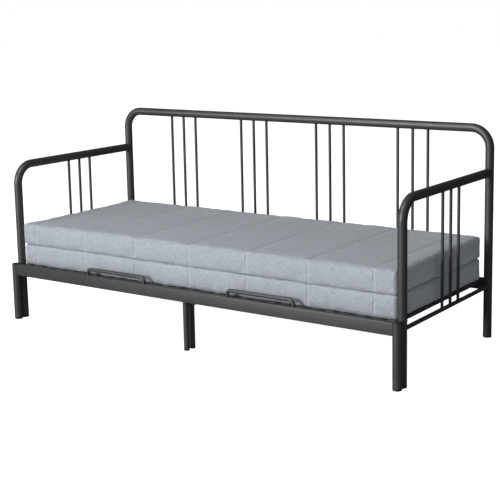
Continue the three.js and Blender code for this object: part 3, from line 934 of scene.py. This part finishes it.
class DAYBED_OT_mattresses(bpy.types.Operator):
    """The two foam mattresses in their seamed covers"""

    bl_idname = "daybed.mattresses"
    bl_label = "Mattresses"

    def execute(self, context):
        bedding = context.scene.daybed_bedding
        for seed, node in ((11, "lower_mattress"), (23, "upper_mattress")):
            low, high = low_high(node)
            piece = self.block(node + "_cover", low, high, bedding)
            self.swell(context, piece, low, high, bedding, seed, pressed=node == "lower_mattress")
            self.seams(context, piece, low, high, bedding, seed)
            placed(piece, BODY_OF[node], [node])
        return {"FINISHED"}

    def seam_places(self, bedding):
        """Where the seven cross seams lie."""
        return bedding.seam_shift + np.arange(-3, 4) * bedding.seam_pitch

    def lines(self, low, high, edge, spacing, seams=()):
        """Mesh lines along one side, closer beside seams and round the ends, where they lie at edge tan t."""
        turn = edge * np.tan(np.linspace(0, math.pi / 4, 5))
        limits = [seam + offset for seam in seams for offset in (SEAM_LINES[0], SEAM_LINES[-1])]
        marks = np.unique(np.concatenate([[low + edge, high - edge], limits]))
        inner = [np.linspace(a, b, max(2, round((b - a) / spacing) + 1)) for a, b in zip(marks, marks[1:])]
        beside = [seam + SEAM_LINES for seam in seams]
        every = np.concatenate([low + edge - turn, *inner, *beside, high - edge + turn])
        return np.unique(np.round(every, 5))

    def laid_out(self, place, low, high, axis, end):
        """The flat map of one side: the front and back hang from the top, and the ends lie apart."""
        x, y, z = np.moveaxis(place, -1, 0)
        if axis == 0:
            return np.stack([y + 3 * end, z], -1)
        if axis == 1:
            depth = high[2] - z
            y = high[1] + depth if end else low[1] - depth
        return np.stack([x, y], -1)

    def block(self, name, low, high, bedding):
        """A box with rounded edges as one closed grid.

        Each point of the box's own grid is moved to the nearest point of the box drawn in by the edge radius,
        plus the radius towards where it was. The bottom edge is tighter: there a point's share of the edge
        radius above the bottom is raised to the power 1.8.
        """
        edge = bedding.edge
        seams = (self.seam_places(bedding), (), ())
        lines = [self.lines(low[k], high[k], edge, bedding.spacing, seams[k]) for k in range(3)]
        count = [len(line) for line in lines]
        keys, maps = [], []
        for axis in range(3):
            first, second = (axis + 1) % 3, (axis + 2) % 3
            i, j = np.meshgrid(np.arange(count[first] - 1), np.arange(count[second] - 1), indexing="ij")
            for end in (0, 1):
                index = np.zeros((i.size, 4, 3), int)
                index[..., axis] = end * (count[axis] - 1)
                index[..., first] = np.stack([i, i + 1, i + 1, i], -1).reshape(-1, 4)
                index[..., second] = np.stack([j, j, j + 1, j + 1], -1).reshape(-1, 4)
                if not end:
                    index = index[:, ::-1]
                keys.append(index)
                place = np.stack([lines[k][index[..., k]] for k in range(3)], -1)
                maps.append(self.laid_out(place, low, high, axis, end))
        keys, maps = np.concatenate(keys), np.concatenate(maps)
        numbers = np.ravel_multi_index(tuple(np.moveaxis(keys, -1, 0)), count)
        flat, inverse = np.unique(numbers, return_inverse=True)
        index = np.unravel_index(flat, count)
        box = np.stack([lines[axis][index[axis]] for axis in range(3)], -1)
        near = np.clip(box, low + edge, high - edge)
        away = box - near
        places = near + edge * away / np.linalg.norm(away, axis=-1, keepdims=True)
        share = np.clip((places[:, 2] - low[2]) / edge, 0, 1)
        places[:, 2] -= edge * (share - share**1.8)
        faces = inverse.reshape(-1, 4).tolist()
        piece = new_object(name, places.tolist(), faces, material("mattress_cover"))
        cloth = piece.data.uv_layers.new(name="cloth")
        cloth.data.foreach_set("uv", maps.reshape(-1).astype(np.float32))
        piece.data.shade_smooth()
        return piece

    def read(self, values, key):
        """The vectors of a mesh's points as an array."""
        found = np.empty(len(values) * 3, np.float32)
        values.foreach_get(key, found)
        return found.reshape(-1, 3).astype(float)

    def write(self, mesh, places):
        """Moves a mesh's points to places."""
        mesh.vertices.foreach_set("co", places.astype(np.float32).ravel())

    def waves(self, places, random, count, shortest, longest):
        """The sum of sine waves whose direction, length and start are drawn at random."""
        total = np.zeros(len(places))
        for _ in range(count):
            direction = unit(random.normal(size=3)) * 2 * math.pi / random.uniform(shortest, longest)
            total += np.sin(places @ direction + random.uniform(0, 2 * math.pi))
        return total

    def swell(self, context, piece, low, high, bedding, seed, pressed):
        """Cloth under slight pressure, held at its seams and where it rests.

        A point that the cloth moved by a length is moved by swell times tanh of the length over the swell.
        """
        mesh, scene = piece.data, context.scene
        start = self.read(mesh.vertices, "co")
        rough = self.waves(start, np.random.default_rng(seed), 14, 50 * MM, 160 * MM)
        inside = np.clip(start, low + bedding.edge, high - bedding.edge)
        normal = (start - inside) / bedding.edge
        self.write(mesh, start + normal * rough[:, None] * (0.25 * MM))
        held = np.abs(start[:, :1] - self.seam_places(bedding)).min(1) < 1.5 * MM
        held |= start[:, 2] < low[2] + 1 * MM
        if pressed:
            held |= start[:, 2] > high[2] - 1 * MM
        group = piece.vertex_groups.new(name="held")
        group.add(np.nonzero(held)[0].tolist(), 1.0, "REPLACE")
        cloth = piece.modifiers.new("cloth", "CLOTH")
        for key, value in CLOTH.items():
            setattr(cloth.settings, key, value)
        cloth.settings.vertex_group_mass = group.name
        cloth.settings.effector_weights.gravity = 0
        cloth.collision_settings.use_collision = False
        cloth.point_cache.frame_start, cloth.point_cache.frame_end = 1, CLOTH_STEPS
        for step in range(1, CLOTH_STEPS + 1):
            scene.frame_set(step)
        evaluated = piece.evaluated_get(context.evaluated_depsgraph_get())
        moved = self.read(evaluated.data.vertices, "co") - start
        piece.modifiers.remove(cloth)
        scene.frame_set(1)
        length = np.linalg.norm(moved, axis=-1, keepdims=True)
        moved *= bedding.swell * np.tanh(length / bedding.swell) / np.maximum(length, 1e-9)
        self.write(mesh, start + moved)
        piece.vertex_groups.clear()
        mesh.update()

    def seams(self, context, piece, low, high, bedding, seed):
        """One subdivision, then the seams: a groove with a low fold beside it, and slow waves over the cover.

        What passes the start of the last room at either end, by past, is drawn back to room times tanh of
        past over room, which keeps the ends clear of the arm tubes.
        """
        smooth = piece.modifiers.new("smooth", "SUBSURF")
        smooth.levels = smooth.render_levels = 1
        evaluated = piece.evaluated_get(context.evaluated_depsgraph_get())
        mesh = bpy.data.meshes.new_from_object(evaluated)
        piece.modifiers.clear()
        old, piece.data = piece.data, mesh
        bpy.data.meshes.remove(old)
        mesh.name = piece.name
        places = self.read(mesh.vertices, "co")
        normals = self.read(mesh.vertex_normals, "vector")
        waves = self.waves(places, np.random.default_rng(seed + 1), 18, 70 * MM, 300 * MM) / 18
        at_end = np.clip((np.abs(places[:, 0]) - high[0] + bedding.edge) / bedding.edge, 0, 1)
        distance = places[:, :1] - self.seam_places(bedding)
        nearest = np.take_along_axis(distance, np.abs(distance).argmin(1)[:, None], 1)[:, 0]

        def ridge(middle, width):
            """e to the minus (distance of the seam from the middle over the width) squared."""
            return np.exp(-(((nearest - middle) / width) ** 2))

        lift = waves * (1.6 * MM + 3.4 * MM * at_end) - 2 * MM * at_end
        lift += 0.9 * MM * ridge(6 * MM, 3 * MM) - bedding.seam_depth * ridge(0, 2.4 * MM)
        made = places + normals * lift[:, None]
        made[:, 2] = np.clip(made[:, 2], low[2], None)
        start, room = high[0] - 3.5 * MM, 4 * MM
        past = np.maximum(np.abs(made[:, 0]) - start, 0)
        made[:, 0] -= np.sign(made[:, 0]) * (past - room * np.tanh(past / room))
        self.write(mesh, made)
        # Painted light at the seams: the groove is darkened as painted shade, and a line 4.5 mm beside it is
        # lightened, partly for a lighter thread and partly as a painted highlight on the fold.
        groove, thread = ridge(0, 1.8 * MM), ridge(4.5 * MM, 2.2 * MM)
        shade = mesh.attributes.new("seam_shade", "FLOAT", "POINT")
        shade.data.foreach_set("value", (1 - 0.05 * groove + 0.25 * thread).astype(np.float32))
        mesh.update()
        mesh.shade_smooth()


class DAYBED_PT_panel(bpy.types.Panel):
    """Lists the daybed's pieces and sizes"""

    bl_idname = "DAYBED_PT_panel"
    bl_label = "Daybed"
    bl_space_type = "VIEW_3D"
    bl_region_type = "UI"
    bl_category = "Daybed"

    def draw(self, context):
        for operator in OPERATORS:
            self.layout.operator(operator.bl_idname)
        for name, group in GROUPS.items():
            box = self.layout.box()
            box.label(text=group.__doc__)
            for key in group.__annotations__:
                box.prop(getattr(context.scene, name), key)


GROUPS = {
    "daybed_steel": DaybedSteel,
    "daybed_finish": DaybedFinish,
    "daybed_bedding": DaybedBedding,
    "daybed_stage": DaybedStage,
}
OPERATORS = (
    DAYBED_OT_stage,
    DAYBED_OT_finishes,
    DAYBED_OT_tubes,
    DAYBED_OT_spindles,
    DAYBED_OT_rails,
    DAYBED_OT_slats,
    DAYBED_OT_hoops,
    DAYBED_OT_feet,
    DAYBED_OT_joints,
    DAYBED_OT_mattresses,
)
CLASSES = (*GROUPS.values(), *OPERATORS, DAYBED_PT_panel)


def register():
    """Registers every class and hangs the settings on the scene."""
    for made in CLASSES:
        bpy.utils.register_class(made)
    for name, group in GROUPS.items():
        setattr(bpy.types.Scene, name, bpy.props.PointerProperty(type=group))


def unregister():
    """Undoes register."""
    for name in GROUPS:
        delattr(bpy.types.Scene, name)
    for made in reversed(CLASSES):
        bpy.utils.unregister_class(made)


def main():
    """Builds the daybed in order."""
    register()
    for operator in OPERATORS:
        group, name = operator.bl_idname.split(".")
        getattr(getattr(bpy.ops, group), name)()


if __name__ == "__main__":
    main()
